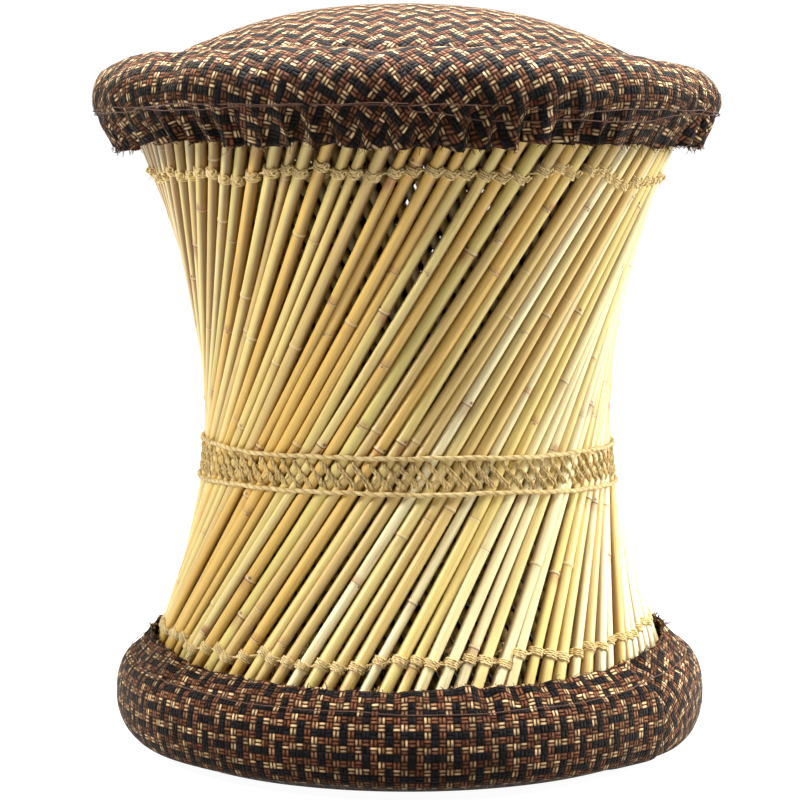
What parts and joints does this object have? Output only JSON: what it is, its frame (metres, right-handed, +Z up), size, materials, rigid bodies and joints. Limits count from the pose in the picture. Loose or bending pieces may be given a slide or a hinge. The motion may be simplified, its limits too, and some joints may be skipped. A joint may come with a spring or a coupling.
{
  "type": "mudda stool",
  "caption": "Round reed drum stool with a drawn-in waist, jute lashings, and a padded seat and base ring covered in woven cloth.",
  "frame": {"origin": "on the floor, under the middle of the seat", "axes": "+Z up; the picture's side faces -Y, with +X to its right"},
  "size_m": [0.378, 0.3788, 0.4446],
  "materials": {
    "outer_reed": "pale dried reed with a soft gloss",
    "inner_reed": "dried reed, duller than the outer layer",
    "jute_twine": "hairy twisted jute",
    "woven_cloth": "coarse basket weave in black, red-brown and tan yarns",
    "brown_thread": "twisted thread",
    "wadding": "loose cotton wadding",
    "grass_roll": "bundled dry grass",
    "grass_rope": "twisted grass rope",
    "cane": "bent cane"
  },
  "bodies": {
    "root": {"outer_reeds_01": "outer_reed", "outer_reeds_02": "outer_reed", "outer_reeds_03": "outer_reed", "outer_reeds_04": "outer_reed", "outer_reeds_05": "outer_reed", "outer_reeds_06": "outer_reed", "outer_reeds_07": "outer_reed", "outer_reeds_08": "outer_reed", "outer_reeds_09": "outer_reed", "outer_reeds_10": "outer_reed", "outer_reeds_11": "outer_reed", "outer_reeds_12": "outer_reed", "outer_reeds_13": "outer_reed", "outer_reeds_14": "outer_reed", "outer_reeds_15": "outer_reed", "outer_reeds_16": "outer_reed", "outer_reeds_17": "outer_reed", "outer_reeds_18": "outer_reed", "inner_reeds_01": "inner_reed", "inner_reeds_02": "inner_reed", "inner_reeds_03": "inner_reed", "inner_reeds_04": "inner_reed", "inner_reeds_05": "inner_reed", "inner_reeds_06": "inner_reed", "inner_reeds_07": "inner_reed", "inner_reeds_08": "inner_reed", "inner_reeds_09": "inner_reed", "inner_reeds_10": "inner_reed", "inner_reeds_11": "inner_reed", "inner_reeds_12": "inner_reed", "inner_reeds_13": "inner_reed", "inner_reeds_14": "inner_reed", "inner_reeds_15": "inner_reed", "inner_reeds_16": "inner_reed", "inner_reeds_17": "inner_reed", "inner_reeds_18": "inner_reed", "top_tie_outer": "jute_twine", "top_tie_inner": "jute_twine", "bottom_tie_outer": "jute_twine", "bottom_tie_inner": "jute_twine", "waist_cord_upper": "jute_twine", "waist_cord_lower": "jute_twine", "waist_lashing": "jute_twine", "seat_cover": "woven_cloth", "seat_pad": "wadding", "seat_deck": "grass_rope", "seat_roll": "grass_roll", "seat_inner_roll": "grass_roll", "seat_hoop": "cane", "seat_thread": "brown_thread", "base_cover": "woven_cloth", "base_roll": "grass_roll", "base_inner_roll": "grass_roll", "base_hoop": "cane", "base_thread": "brown_thread"}
  },
  "joints": []
}
